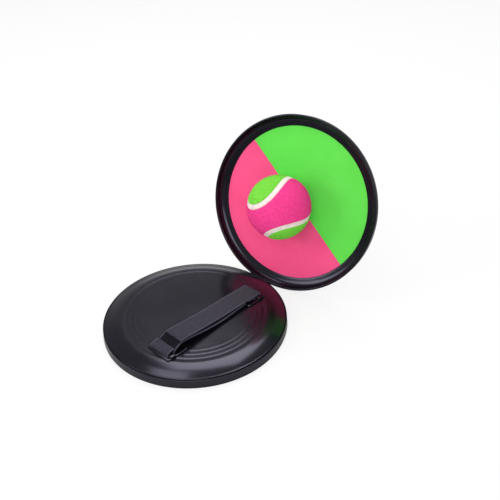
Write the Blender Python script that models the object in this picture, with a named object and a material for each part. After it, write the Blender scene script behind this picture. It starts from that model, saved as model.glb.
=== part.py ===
"""Hook and loop catch set: two hand discs and the ball they catch.

One disc lies with its strap up. The other stands behind it, leaning back,
with the ball stuck to its face. Both discs are the same two-colour design.
The set's frame: origin under the middle of the set's box, +Z up, and the
standing disc faces -Y.

Each disc is drawn once, in a frame of its own that all its dimensions use:
origin at the middle of the rim's front edge, +Z out of the back, and +X
along the hand strap. Dimensions are in millimetres, and MM turns them into
metres where meshes are made.
"""

import math

import bmesh
import bpy
from mathutils import Euler, Matrix, Vector

MM = 0.001

# The disc's shell. Heights are measured from the rim's front edge
RIM_RADIUS = 92.5          # 185 mm across the front edge
BAND_DRAFT = 0.6           # the side band leans in this much towards the back
BAND_HEIGHT = 8.7          # top of the side band
BACK_PLANE = 13.0          # the flat middle of the back
SHOULDER_RISE = 0.5        # the shoulder's highest ring, above the back plane
SHOULDER_WIDTH = 18.4      # from that ring out to the groove
RIDGE_INSETS = (17.1, 12.0, 6.5)    # ridges and valleys, inwards from that ring
VALLEY_INSETS = (14.6, 9.3, 3.5)
RIDGE_HEIGHT = 0.35        # a ridge's crest above the flat, a valley below it
RIDGE_FOOT = 2.6           # from the flat middle to the first crest
WALL = 2.1                 # floor of the shell behind the catch face
RIM_WALL = 2.2
GROOVE_DEPTH = 1.0         # the line between side band and shoulder
GROOVE_WIDTH = 0.8
SEGMENTS = 60

# The catch face
FACE_BORDER = 11.9         # from the rim's outside in to the face's edge
FACE_THICKNESS = 1.1
FACE_SEAM_ANGLE = -41.5    # degrees, the colour line, seen from the front with the strap upright
FACE_SEAM_OFFSET = 4.05    # the line passes this far above the middle
FACE_ARC_STEPS = 40

# The tapes
HOOK_WIDTH = 23.6
HOOK_SHIFT = 0.8           # each tape's centre line, off the anchors' centre line
LOOP_WIDTH = 21.8
LOOP_SHIFT = 0.3
HOOK_THICKNESS = 1.3
LOOP_THICKNESS = 1.4
TAPE_PLAY = 0.35           # air between a tape and the bar it goes round
LAYER_GAP = 0.4            # air between the two mated tapes
HOOK_TAIL_REACH = 3.6      # from the left bar in to the end of the tail folded over it
HOOK_TAIL_RISE = 6.3       # that tail's middle, above the back plane
LOOP_FREE_REACH = 11.4     # from the left bar in to the upper tape's free end
LOOP_TAIL_REACH = 10.7     # from the right bar in to the upper tape's tail, under the run
RUN_START = (18.2, 7.5)    # the lower tape's straight run: in from the left bar, above the back plane
RUN_END = (15.2, 3.15)     # the same at its other end, in from the right bar

# The strap's two anchors, each a raised frame crossed by a bar
STRAP_OFFSET = -20.5       # the anchors' centre line, off the disc's middle
ANCHOR_OUTER_X = 65.8      # outer edge of each frame along the strap
ANCHOR_LENGTH = 24.5
POST_WIDTH = 2.1           # the bar's two posts, at the frame's sides
LIP_WIDTH = 1.8
LIP_HEIGHT = 1.5           # above the back plane
POCKET_DEPTH = 0.6         # the frame's floor, below the back plane
OUTER_SLOT = 2.4           # between the frame's outer lip and the bar
BAR_WIDTH = 5.4
BAR_THICKNESS = 1.6

# The ball
BALL_RADIUS = 32.5
FELT_THICKNESS = 1.5
SEAM_WIDTH = 4.8           # from one felt's edge to the other's
SEAM_SINK = 0.25           # the seam's surface, below the felt's
SEAM_SHAPE = 0.725         # main share of the seam curve's two waves
PANEL_ROWS = 32
PANEL_COLUMNS = 10
SEAM_STEPS = 72
BALL_TURN = (-70.2, 79.2, -158.2)      # degrees, as it sits on the standing disc
BALL_ON_FACE = (0.4, -1.2)             # off the face's middle, in the disc's frame

# Where the discs are
LYING_TURN = 77.5          # degrees, the lying disc's strap from the set's +X
STANDING_LEAN = 18.0       # degrees back from upright
STANDING_X = 43.5          # the standing disc's middle, to the right of the lying one's
DISC_GAP = 0.3            # air between the two rims

CLEARANCE = 0.3            # air between pieces that touch on the real thing

# Places that follow from the sizes above
BAND_TOP_RADIUS = RIM_RADIUS - BAND_DRAFT
SHOULDER_CREST = BACK_PLANE + SHOULDER_RISE
SHOULDER_RADIUS = BAND_TOP_RADIUS - GROOVE_DEPTH - SHOULDER_WIDTH
SHELL_FLOOR = BACK_PLANE - WALL                          # behind the face's material
FACE_RADIUS = RIM_RADIUS - FACE_BORDER
FACE_DEPTH = SHELL_FLOOR - CLEARANCE - FACE_THICKNESS    # the catch surface
SLOT_WIDTH = max(HOOK_WIDTH + 2 * HOOK_SHIFT, LOOP_WIDTH + 2 * LOOP_SHIFT) + 2 * CLEARANCE
ANCHOR_WIDTH = SLOT_WIDTH + 2 * POST_WIDTH
BAR_OUTER_X = ANCHOR_OUTER_X - LIP_WIDTH - OUTER_SLOT
BAR_INNER_X = BAR_OUTER_X - BAR_WIDTH
BAR_UNDERSIDE = BACK_PLANE - POCKET_DEPTH + max(HOOK_THICKNESS, LOOP_THICKNESS) + 2 * CLEARANCE
BAR_TOP = BAR_UNDERSIDE + BAR_THICKNESS
ANCHOR_ROOT = SHELL_FLOOR + 0.3                          # the frames start inside the shell's wall
HOOK_RUN_START = (RUN_START[0] - BAR_INNER_X, BACK_PLANE + RUN_START[1])
HOOK_RUN_END = (BAR_INNER_X - RUN_END[0], BACK_PLANE + RUN_END[1])


def clear_scene():
    for obj in list(bpy.data.objects):
        bpy.data.objects.remove(obj, do_unlink=True)


def material(name, colour, roughness):
    made = bpy.data.materials.new(name)
    made.use_nodes = True
    shader = made.node_tree.nodes["Principled BSDF"]
    shader.inputs["Base Color"].default_value = (*colour, 1.0)
    shader.inputs["Roughness"].default_value = roughness
    shader.inputs["Metallic"].default_value = 0.0
    made.diffuse_color = (*colour, 1.0)
    return made


def mesh_of(name, points, faces):
    mesh = bpy.data.meshes.new(name)
    mesh.from_pydata([Vector(point) * MM for point in points], [], faces)
    mesh.validate()
    mesh.update()
    return mesh


def link(name, mesh):
    obj = bpy.data.objects.new(name, mesh)
    bpy.context.scene.collection.objects.link(obj)
    return obj


def smooth(mesh, degrees):
    for polygon in mesh.polygons:
        polygon.use_smooth = True
    mesh.set_sharp_from_angle(angle=math.radians(degrees))


# The shell: one turned profile, from the middle of the back round to the middle of the inside.

def shell_profile():
    flat_end = SHOULDER_RADIUS - RIDGE_INSETS[0] - RIDGE_FOOT
    points = [(0.0, BACK_PLANE), (flat_end, BACK_PLANE)]
    for ridge, valley in zip(RIDGE_INSETS, VALLEY_INSETS):
        points.append((SHOULDER_RADIUS - ridge, BACK_PLANE + RIDGE_HEIGHT))
        points.append((SHOULDER_RADIUS - valley, BACK_PLANE - RIDGE_HEIGHT))
    points.append((SHOULDER_RADIUS, SHOULDER_CREST))
    # The shoulder falls away as a quarter of a flat oval.
    shoulder_end = BAND_TOP_RADIUS - GROOVE_DEPTH
    drop = SHOULDER_CREST - (BAND_HEIGHT + 0.4)
    for step in range(1, 7):
        along = step / 6
        fall = 1 - math.cos(along * math.radians(72))
        fall /= 1 - math.cos(math.radians(72))
        points.append((SHOULDER_RADIUS + SHOULDER_WIDTH * along, SHOULDER_CREST - drop * fall))
    points.append((shoulder_end, BAND_HEIGHT - GROOVE_WIDTH / 2))
    points.append((BAND_TOP_RADIUS - 0.3, BAND_HEIGHT))
    points.append((BAND_TOP_RADIUS, BAND_HEIGHT - 0.4))
    points.append((RIM_RADIUS, 0.7))
    points.append((RIM_RADIUS - 0.2, 0.2))
    points.append((RIM_RADIUS - 0.7, 0.0))
    inner = RIM_RADIUS - RIM_WALL
    points.append((inner + 0.6, 0.0))
    points.append((inner + 0.15, 0.2))
    points.append((inner, 0.7))
    points.append((inner - 0.7, FACE_DEPTH - 3.5))
    points.append((inner - 1.7, FACE_DEPTH - 1.9))
    points.append((inner - 4.2, FACE_DEPTH - 0.6))
    points.append((FACE_RADIUS + 1.4, FACE_DEPTH + 0.3))
    points.append((FACE_RADIUS + CLEARANCE, FACE_DEPTH + 0.9))
    points.append((FACE_RADIUS + CLEARANCE, SHELL_FLOOR))
    points.append((0.0, SHELL_FLOOR))
    return points


def turned(name, profile):
    """A closed body of revolution. The profile starts and ends on the axis."""
    points = [(0.0, 0.0, profile[0][1])]
    for radius, height in profile[1:-1]:
        for step in range(SEGMENTS):
            angle = 2 * math.pi * step / SEGMENTS
            points.append((radius * math.cos(angle), radius * math.sin(angle), height))
    points.append((0.0, 0.0, profile[-1][1]))
    last = len(points) - 1
    rings = len(profile) - 2
    faces = []
    for step in range(SEGMENTS):
        after = (step + 1) % SEGMENTS
        faces.append((0, 1 + step, 1 + after))
        for ring in range(rings - 1):
            near = 1 + ring * SEGMENTS
            far = near + SEGMENTS
            faces.append((near + step, far + step, far + after, near + after))
        inmost = 1 + (rings - 1) * SEGMENTS
        faces.append((inmost + step, last, inmost + after))
    return mesh_of(name, points, faces)


def block(name, low, high):
    """A helper box between two corners, in the disc's frame. It is never rendered."""
    (x0, y0, z0), (x1, y1, z1) = low, high
    points = [(x, y, z) for x in (x0, x1) for y in (y0, y1) for z in (z0, z1)]
    faces = [(0, 1, 3, 2), (4, 6, 7, 5), (0, 4, 5, 1), (2, 3, 7, 6), (0, 2, 6, 4), (1, 5, 7, 3)]
    obj = link(name, mesh_of(name, points, faces))
    obj.hide_render = True
    obj.display_type = "WIRE"
    return obj


def combine(target, other, operation):
    modifier = target.modifiers.new(f"{operation} {other.name}", "BOOLEAN")
    modifier.object = other
    modifier.operation = operation
    modifier.solver = "EXACT"


def round_edges(obj, width, segments):
    modifier = obj.modifiers.new("Rounded edges", "BEVEL")
    modifier.width = width * MM
    modifier.segments = segments
    modifier.limit_method = "ANGLE"


def anchor(side):
    """The frame and bar at one end of the strap, as one helper body. side is -1 or 1."""
    tag = "left" if side < 0 else "right"
    outer = side * ANCHOR_OUTER_X
    inner = side * (ANCHOR_OUTER_X - ANCHOR_LENGTH)
    low_x, high_x = min(outer, inner), max(outer, inner)
    low_y = STRAP_OFFSET - ANCHOR_WIDTH / 2
    high_y = STRAP_OFFSET + ANCHOR_WIDTH / 2
    lip_top = BACK_PLANE + LIP_HEIGHT
    frame = block(f"frame {tag}", (low_x, low_y, ANCHOR_ROOT), (high_x, high_y, lip_top))
    round_edges(frame, 0.6, 2)
    hole = block(
        f"frame hole {tag}",
        (low_x + LIP_WIDTH, low_y + LIP_WIDTH, ANCHOR_ROOT - 2),
        (high_x - LIP_WIDTH, high_y - LIP_WIDTH, lip_top + 2),
    )
    combine(frame, hole, "DIFFERENCE")

    bar_x = sorted((side * BAR_INNER_X, side * BAR_OUTER_X))
    bridge = block(
        f"bridge {tag}",
        (bar_x[0], low_y + 0.1, ANCHOR_ROOT + 0.2),
        (bar_x[1], high_y - 0.1, BAR_TOP),
    )
    round_edges(bridge, 0.5, 2)
    arch = block(
        f"arch {tag}",
        (bar_x[0] - 3, STRAP_OFFSET - SLOT_WIDTH / 2, ANCHOR_ROOT - 2),
        (bar_x[1] + 3, STRAP_OFFSET + SLOT_WIDTH / 2, BAR_UNDERSIDE),
    )
    combine(bridge, arch, "DIFFERENCE")
    combine(frame, bridge, "UNION")
    return frame


def pocket(side):
    """The cutter that sinks the floor inside one anchor's frame. It reaches under the lip."""
    outer = side * (ANCHOR_OUTER_X - LIP_WIDTH / 2)
    inner = side * (ANCHOR_OUTER_X - ANCHOR_LENGTH + LIP_WIDTH / 2)
    reach_y = ANCHOR_WIDTH / 2 - LIP_WIDTH / 2
    return block(
        "pocket left" if side < 0 else "pocket right",
        (min(outer, inner), STRAP_OFFSET - reach_y, BACK_PLANE - POCKET_DEPTH),
        (max(outer, inner), STRAP_OFFSET + reach_y, BACK_PLANE + 5),
    )


def build_shell_mesh():
    """The shell with its anchors as one plain mesh, which both discs share."""
    draft = link("shell draft", turned("shell draft", shell_profile()))
    helpers = []
    for side in (-1, 1):
        cutter = pocket(side)
        combine(draft, cutter, "DIFFERENCE")
        helpers.append(cutter)
    for side in (-1, 1):
        joined = anchor(side)
        combine(draft, joined, "UNION")
        helpers.append(joined)
    bpy.context.view_layer.update()
    graph = bpy.context.evaluated_depsgraph_get()
    mesh = bpy.data.meshes.new_from_object(draft.evaluated_get(graph))
    mesh.name = "disc shell"
    mesh.materials.clear()
    for obj in list(bpy.data.objects):
        bpy.data.objects.remove(obj, do_unlink=True)
    smooth(mesh, 32)
    return mesh


# The catch face: two flat pieces that meet on the colour line.

def build_face_mesh(name, upper):
    """One colour of the face, above or below the line."""
    angle = math.radians(FACE_SEAM_ANGLE)
    # From the front, right is the disc's +Y and up is its +X.
    along = Vector((math.sin(angle), math.cos(angle)))
    across = Vector((math.cos(angle), -math.sin(angle)))
    side = 1 if upper else -1
    distance = FACE_SEAM_OFFSET + side * CLEARANCE / 2
    half = math.acos(side * distance / FACE_RADIUS)
    outline = []
    for step in range(FACE_ARC_STEPS + 1):
        turn = -half + 2 * half * step / FACE_ARC_STEPS
        point = across * side * math.cos(turn) + along * math.sin(turn)
        outline.append(point * FACE_RADIUS)
    count = len(outline)
    front = [(point.x, point.y, FACE_DEPTH) for point in outline]
    back = [(point.x, point.y, FACE_DEPTH + FACE_THICKNESS) for point in outline]
    faces = [tuple(range(count)), tuple(reversed(range(count, 2 * count)))]
    for step in range(count):
        after = (step + 1) % count
        faces.append((step, count + step, count + after, after))
    mesh = mesh_of(name, front + back, faces)
    outward(mesh)
    smooth(mesh, 40)
    return mesh


def outward(mesh):
    draft = bmesh.new()
    draft.from_mesh(mesh)
    bmesh.ops.recalc_face_normals(draft, faces=draft.faces)
    draft.to_mesh(mesh)
    draft.free()


# The tapes: each is a band of even thickness that follows a path in the strap's side view.

def smooth_path(points, steps):
    """A Catmull-Rom curve through the points."""
    points = [Vector(point) for point in points]
    padded = [points[0] * 2 - points[1], *points, points[-1] * 2 - points[-2]]
    curve = []
    for before, start, end, after in zip(padded, padded[1:], padded[2:], padded[3:]):
        for step in range(steps):
            t = step / steps
            curve.append(
                0.5
                * (
                    2 * start
                    + (end - before) * t
                    + (2 * before - 5 * start + 4 * end - after) * t**2
                    + (3 * start - before - 3 * end + after) * t**3
                )
            )
    curve.append(points[-1])
    return curve


def tape_mesh(name, path, thickness, width, offset):
    low = offset - width / 2
    high = offset + width / 2
    points = []
    for index, here in enumerate(path):
        before = path[max(index - 1, 0)]
        after = path[min(index + 1, len(path) - 1)]
        run = (after - before).normalized()
        normal = Vector((-run.y, run.x)) * thickness / 2
        over = here + normal
        under = here - normal
        points += [
            (over.x, low, over.y),
            (over.x, high, over.y),
            (under.x, high, under.y),
            (under.x, low, under.y),
        ]
    faces = [(0, 1, 2, 3)]
    for index in range(len(path) - 1):
        near = 4 * index
        far = near + 4
        for corner in range(4):
            turn = (corner + 1) % 4
            faces.append((near + corner, far + corner, far + turn, near + turn))
    end = 4 * (len(path) - 1)
    faces.append((end + 3, end + 2, end + 1, end))
    mesh = mesh_of(name, points, faces)
    outward(mesh)
    smooth(mesh, 40)
    return mesh


def build_hook_tape():
    """Lower tape: its tail folds loosely back over the left bar, its run goes under the upper tape."""
    half = HOOK_THICKNESS / 2
    outer = BAR_OUTER_X + TAPE_PLAY + half
    under = BACK_PLANE - POCKET_DEPTH + CLEARANCE + half
    corner = (half + TAPE_PLAY) * math.sqrt(0.5) + 0.05
    tail = BACK_PLANE + HOOK_TAIL_RISE
    end = HOOK_TAIL_REACH - BAR_INNER_X
    start = HOOK_RUN_START[1]
    path = [
        (end, tail),
        (-BAR_INNER_X + 0.7, tail - 0.05),
        (-BAR_INNER_X - 2.3, tail - 0.55),
        (-outer + 0.5, BAR_TOP + 1.4),
        (-outer - 0.1, BAR_TOP - 0.3),
        (-outer - 0.15, BAR_UNDERSIDE + 0.3),
        (-BAR_OUTER_X - corner, BAR_UNDERSIDE - corner),
        (-BAR_OUTER_X + 0.6, under),
        (-BAR_INNER_X - 2.0, under + 0.02),
        (-BAR_INNER_X, under + 0.05),
        (-BAR_INNER_X + 1.5, under + 0.9),
        (-BAR_INNER_X + 2.3, under + 2.4),
        (-BAR_INNER_X + 2.8, tail - 2.6),
        (end + 0.5, tail - 1.65),
        (end + 3.1, start - 1.5),
        (end + 6.6, start - 0.3),
        (HOOK_RUN_START[0] - 4.5, start + 0.1),
        HOOK_RUN_START,
        ((HOOK_RUN_START[0] + HOOK_RUN_END[0]) / 2, (start + HOOK_RUN_END[1]) / 2),
        HOOK_RUN_END,
    ]
    offset = STRAP_OFFSET + HOOK_SHIFT
    return tape_mesh("hook tape", smooth_path(path, 4), HOOK_THICKNESS, HOOK_WIDTH, offset)


def build_loop_tape():
    """Upper tape: its run lies on the hooks, goes round the right bar and ends beneath itself."""
    half = LOOP_THICKNESS / 2
    lift = HOOK_THICKNESS / 2 + LAYER_GAP + half
    over = BAR_TOP + TAPE_PLAY + half
    under = BACK_PLANE - POCKET_DEPTH + CLEARANCE + half
    outer = BAR_OUTER_X + TAPE_PLAY + half
    corner = (half + TAPE_PLAY) * math.sqrt(0.5) + 0.05
    start = HOOK_RUN_START[1] + lift
    end = HOOK_RUN_END[1] + lift
    slope = (end - start) / (HOOK_RUN_END[0] - HOOK_RUN_START[0])
    path = [
        (LOOP_FREE_REACH - BAR_INNER_X, start - 0.15),
        (HOOK_RUN_START[0] - 2.0, start + 0.12),
        (0.0, start - slope * HOOK_RUN_START[0]),
        (HOOK_RUN_END[0], end),
        (BAR_INNER_X - 3.5, over + 0.2),
        (BAR_INNER_X + 1.0, over),
        (BAR_OUTER_X - 0.8, over),
        (BAR_OUTER_X + corner, BAR_TOP + corner),
        (outer + 0.1, (BAR_TOP + BAR_UNDERSIDE) / 2),
        (BAR_OUTER_X + corner, BAR_UNDERSIDE - corner),
        (BAR_OUTER_X - 0.6, under),
        (BAR_INNER_X + 2.0, under + 0.02),
        (BAR_INNER_X - 0.2, under),
        (BAR_INNER_X - 2.2, under + 0.65),
        (BAR_INNER_X - 4.7, end - 2.6),
        (BAR_INNER_X - 7.7, end - 2.0),
        (BAR_INNER_X - LOOP_TAIL_REACH, end - 1.95),
    ]
    offset = STRAP_OFFSET + LOOP_SHIFT
    return tape_mesh("loop tape", smooth_path(path, 4), LOOP_THICKNESS, LOOP_WIDTH, offset)


# The ball: a solid core under two felt panels and the seam between them.

def seam_point(turn):
    """A point of the seam curve, and its direction, on a ball of radius 1."""
    main = SEAM_SHAPE
    wave = 1 - SEAM_SHAPE
    height = 2 * math.sqrt(main * wave)
    here = Vector(
        (
            main * math.cos(turn) + wave * math.cos(3 * turn),
            main * math.sin(turn) - wave * math.sin(3 * turn),
            height * math.sin(2 * turn),
        )
    )
    run = Vector(
        (
            -main * math.sin(turn) - 3 * wave * math.sin(3 * turn),
            main * math.cos(turn) - 3 * wave * math.cos(3 * turn),
            2 * height * math.cos(2 * turn),
        )
    )
    here.normalize()
    run -= here * run.dot(here)
    return here, run.normalized()


def beside_seam(turn, distance):
    """A point this far from the seam line, measured over the ball's surface."""
    here, run = seam_point(turn)
    across = here.cross(run)
    angle = distance / BALL_RADIUS
    return here * math.cos(angle) + across * math.sin(angle)


def between(start, end, share):
    angle = start.angle(end)
    if angle < 1e-6:
        return start.copy()
    return (start * math.sin((1 - share) * angle) + end * math.sin(share * angle)) / math.sin(angle)


def build_felt(name, middle_turn, side):
    """One felt panel. middle_turn is where the seam crosses one end of it."""
    inset = side * SEAM_WIDTH / 2
    rows = []
    for row in range(1, PANEL_ROWS):
        spread = math.pi * row / PANEL_ROWS
        left = beside_seam(middle_turn + spread, inset)
        right = beside_seam(middle_turn - spread, inset)
        rows.append([between(left, right, column / PANEL_COLUMNS) for column in range(PANEL_COLUMNS + 1)])
    ends = [beside_seam(middle_turn, inset), beside_seam(middle_turn + math.pi, inset)]
    points = []
    for radius in (BALL_RADIUS, BALL_RADIUS - FELT_THICKNESS):
        points += [direction * radius for row in rows for direction in row]
        points += [direction * radius for direction in ends]
    width = PANEL_COLUMNS + 1
    layer = len(points) // 2
    first_end = len(rows) * width
    faces = []
    for base in (0, layer):
        for column in range(PANEL_COLUMNS):
            for row in range(len(rows) - 1):
                near = base + row * width + column
                far = near + width
                faces.append((near, near + 1, far + 1, far))
            tail = base + (len(rows) - 1) * width + column
            faces.append((base + first_end, base + column + 1, base + column))
            faces.append((base + first_end + 1, tail, tail + 1))
    rim = [first_end]
    rim += [row * width for row in range(len(rows))]
    rim += [first_end + 1]
    rim += [row * width + PANEL_COLUMNS for row in reversed(range(len(rows)))]
    for index, here in enumerate(rim):
        after = rim[(index + 1) % len(rim)]
        faces.append((here, after, layer + after, layer + here))
    mesh = mesh_of(name, points, faces)
    outward(mesh)
    smooth(mesh, 40)
    return mesh


def build_seam():
    """The strip that fills the line between the panels, as one closed ring."""
    half = SEAM_WIDTH / 2 - CLEARANCE
    outer = BALL_RADIUS - SEAM_SINK
    inner = BALL_RADIUS - FELT_THICKNESS
    points = []
    for step in range(SEAM_STEPS):
        turn = 2 * math.pi * step / SEAM_STEPS
        low = beside_seam(turn, -half)
        high = beside_seam(turn, half)
        points += [low * outer, high * outer, high * inner, low * inner]
    faces = []
    for step in range(SEAM_STEPS):
        near = 4 * step
        far = 4 * ((step + 1) % SEAM_STEPS)
        for corner in range(4):
            turn = (corner + 1) % 4
            faces.append((near + corner, far + corner, far + turn, near + turn))
    mesh = mesh_of("ball seam", points, faces)
    outward(mesh)
    smooth(mesh, 40)
    return mesh


def build_core():
    draft = bmesh.new()
    radius = BALL_RADIUS - FELT_THICKNESS - CLEARANCE
    bmesh.ops.create_icosphere(draft, subdivisions=3, radius=radius * MM)
    mesh = bpy.data.meshes.new("ball core")
    draft.to_mesh(mesh)
    draft.free()
    smooth(mesh, 180)
    return mesh


# Placing the pieces

def place(name, mesh, made_of, parent):
    obj = link(name, mesh)
    obj.parent = parent
    if not mesh.materials:
        mesh.materials.append(made_of)
    obj.material_slots[0].link = "OBJECT"
    obj.material_slots[0].material = made_of
    return obj


def empty(name):
    obj = link(name, None)
    obj.empty_display_size = 0.02
    return obj


def standing_height():
    """How high the leaning disc's middle is when its lowest ring is at the floor."""
    lean = math.radians(STANDING_LEAN)
    return max(r * math.cos(lean) + z * math.sin(lean) for r, z in shell_profile())


def standing_distance():
    """How far behind the lying disc's middle the leaning one's is, for their rims to clear."""
    lean = math.radians(STANDING_LEAN)
    distances = []
    for degree in range(91):
        turn = math.radians(degree)
        height = standing_height() - RIM_RADIUS * math.cos(turn) * math.cos(lean)
        if height > BAND_HEIGHT:
            break
        rim = RIM_RADIUS - BAND_DRAFT * height / BAND_HEIGHT + DISC_GAP
        across = STANDING_X - RIM_RADIUS * math.sin(turn)
        distances.append(math.sqrt(rim**2 - across**2) + RIM_RADIUS * math.cos(turn) * math.sin(lean))
    return max(distances)


def build_disc(prefix, stand, meshes, plastic, hook, loop):
    """The five pieces of one disc. The catch face's materials are its own."""
    green = material(f"{prefix} face green", (0.127, 0.76, 0.08), 0.85)
    pink = material(f"{prefix} face pink", (0.95, 0.09, 0.26), 0.85)
    place(f"{prefix}_shell", meshes["shell"], plastic, stand)
    place(f"{prefix}_face_green", meshes["green"], green, stand)
    place(f"{prefix}_face_pink", meshes["pink"], pink, stand)
    place(f"{prefix}_hook_tape", meshes["hook"], hook, stand)
    place(f"{prefix}_loop_tape", meshes["loop"], loop, stand)


def build_ball(stand):
    place("ball_core", build_core(), material("ball core", (0.55, 0.53, 0.5), 0.7), stand)
    place("ball_seam", build_seam(), material("ball seam", (0.9, 0.82, 0.8), 0.7), stand)
    pink = material("ball felt pink", (0.93, 0.06, 0.32), 0.95)
    green = material("ball felt green", (0.2, 0.77, 0.07), 0.95)
    place("ball_felt_pink", build_felt("felt pink", 3 * math.pi / 4, 1), pink, stand)
    place("ball_felt_green", build_felt("felt green", math.pi / 4, -1), green, stand)


def centre_on_floor(stands):
    """Moves the set so that its box stands on the floor, centred on the origin."""
    bpy.context.view_layer.update()
    corners = []
    for obj in bpy.data.objects:
        if obj.type == "MESH":
            corners += [obj.matrix_world @ vertex.co for vertex in obj.data.vertices]
    low = [min(corner[axis] for corner in corners) for axis in range(3)]
    high = [max(corner[axis] for corner in corners) for axis in range(3)]
    shift = Vector((-(low[0] + high[0]) / 2, -(low[1] + high[1]) / 2, -low[2]))
    for stand in stands:
        stand.location += shift
    return shift, low, high


def main():
    clear_scene()
    meshes = {
        "shell": build_shell_mesh(),
        "green": build_face_mesh("face green", True),
        "pink": build_face_mesh("face pink", False),
        "hook": build_hook_tape(),
        "loop": build_loop_tape(),
    }
    lying = empty("lying_disc")
    lying.rotation_euler = Euler((0.0, 0.0, math.radians(LYING_TURN)))
    standing = empty("standing_disc")
    # The disc's +X points up and its back, +Z, points to the set's +Y and a little down.
    tilt = Matrix.Rotation(math.radians(-90 - STANDING_LEAN), 4, "X")
    standing.rotation_euler = (tilt @ Matrix.Rotation(math.radians(-90), 4, "Z")).to_euler()
    standing.location = Vector((STANDING_X, standing_distance(), standing_height())) * MM

    for prefix, stand in (("lying", lying), ("standing", standing)):
        plastic = material(f"{prefix} shell", (0.04, 0.04, 0.05), 0.35)
        hook = material(f"{prefix} hook tape", (0.03, 0.03, 0.035), 0.9)
        loop = material(f"{prefix} loop tape", (0.05, 0.05, 0.06), 0.9)
        build_disc(prefix, stand, meshes, plastic, hook, loop)

    ball = empty("ball")
    bpy.context.view_layer.update()
    on_face = Vector((*BALL_ON_FACE, FACE_DEPTH - CLEARANCE - BALL_RADIUS)) * MM
    ball.location = standing.matrix_world @ on_face
    ball.rotation_euler = Euler([math.radians(angle) for angle in BALL_TURN])
    build_ball(ball)

    shift, low, high = centre_on_floor([lying, standing, ball])
    print("box before centring, mm:", [round(v / MM, 2) for v in low], [round(v / MM, 2) for v in high])
    print("shift, mm:", [round(v / MM, 3) for v in shift])


main()
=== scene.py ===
# %% [markdown]
# This lesson dresses a catch set: two black hand discs and the felt ball that sticks to them.
# The solid model already holds every piece at its real size. It is loaded first and stays where
# it is, as the frame that the fine pieces are built round.

# %% Load the frame
import math

import bmesh
import bpy
import numpy as np
from mathutils import Euler, Matrix, Vector, noise


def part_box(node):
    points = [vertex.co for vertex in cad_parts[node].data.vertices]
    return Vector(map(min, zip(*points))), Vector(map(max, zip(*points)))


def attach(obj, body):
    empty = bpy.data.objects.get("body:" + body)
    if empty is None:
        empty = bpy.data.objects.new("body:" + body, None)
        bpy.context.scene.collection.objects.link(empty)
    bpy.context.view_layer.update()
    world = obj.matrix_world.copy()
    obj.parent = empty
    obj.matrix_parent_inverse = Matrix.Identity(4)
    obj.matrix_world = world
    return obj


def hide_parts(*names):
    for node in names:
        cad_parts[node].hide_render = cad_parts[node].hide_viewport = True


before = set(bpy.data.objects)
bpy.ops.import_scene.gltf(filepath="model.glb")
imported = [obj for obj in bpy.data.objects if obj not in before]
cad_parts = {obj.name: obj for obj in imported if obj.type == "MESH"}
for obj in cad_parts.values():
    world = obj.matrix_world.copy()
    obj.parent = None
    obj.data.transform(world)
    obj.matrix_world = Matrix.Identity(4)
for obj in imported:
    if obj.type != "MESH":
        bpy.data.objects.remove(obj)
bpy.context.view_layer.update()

MM = 0.001

# %% [markdown]
# Both discs are one design, so each fine piece is modelled once, in the disc's own frame: the
# origin is at the middle of the rim's front edge, +Z comes out of the back and +X runs along the
# hand strap. A matrix then carries it to the lying disc and to the leaning one. The matrices are
# worked out from the boxes of the solids, so that the fine pieces land exactly on them.

# %% Where the discs and the ball are
RIM_RADIUS = 92.5
BAND_TOP_RADIUS = 91.9
BAND_HEIGHT = 8.7
FRONT_CORNER, BACK_CORNER = 0.7, 0.4
LYING_TURN = 77.5
STANDING_LEAN = 18.0
BALL_TURN = (-70.2, 79.2, -158.2)


def middle_of(node):
    low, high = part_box(node)
    return (low + high) / 2


lean = math.radians(STANDING_LEAN)
lying_middle = middle_of("lying_shell")
lying_middle.z = 0.0
standing_low, standing_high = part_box("standing_shell")
front_edge = RIM_RADIUS - FRONT_CORNER
foot = BAND_TOP_RADIUS * math.cos(lean) + (BAND_HEIGHT - BACK_CORNER) * math.sin(lean)
standing_x = (standing_low.x + standing_high.x) / 2
standing_y = standing_low.y + front_edge * math.sin(lean) * MM
standing_middle = Vector((standing_x, standing_y, standing_low.z + foot * MM))
LYING = Matrix.Translation(lying_middle) @ Matrix.Rotation(math.radians(LYING_TURN), 4, "Z")
STANDING = (
    Matrix.Translation(standing_middle)
    @ Matrix.Rotation(math.radians(-90 - STANDING_LEAN), 4, "X")
    @ Matrix.Rotation(math.radians(-90), 4, "Z")
)
BALL = Matrix.Translation(middle_of("ball_core")) @ Euler(
    [math.radians(angle) for angle in BALL_TURN]
).to_matrix().to_4x4()
print("lying disc at", [round(v / MM, 2) for v in lying_middle])
print("leaning disc at", [round(v / MM, 2) for v in standing_middle])
print("ball at", [round(v / MM, 2) for v in BALL.translation])

# %% [markdown]
# The camera looks down at the set from the front right, as a product photographer would. Its
# place and lens were found by matching the two rims and the ball to the picture.

# %% The camera
CAMERA_PLACE = (285.83, -424.85, 411.97)
CAMERA_TURN = (56.651, 1.031, 30.822)
LENS = 45.479
CAMERA_SHIFT = (-0.001, 0.001)

bpy.ops.object.camera_add(
    location=Vector(CAMERA_PLACE) * MM, rotation=[math.radians(angle) for angle in CAMERA_TURN]
)
camera = bpy.context.object
camera.name = "camera"
camera.data.lens = LENS
camera.data.sensor_width = 36
camera.data.shift_x, camera.data.shift_y = CAMERA_SHIFT
camera.data.clip_start = 0.01
bpy.context.scene.camera = camera
bpy.context.scene.view_settings.view_transform = "Standard"
print("camera", [round(v, 3) for v in camera.location], "lens", camera.data.lens)

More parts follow.
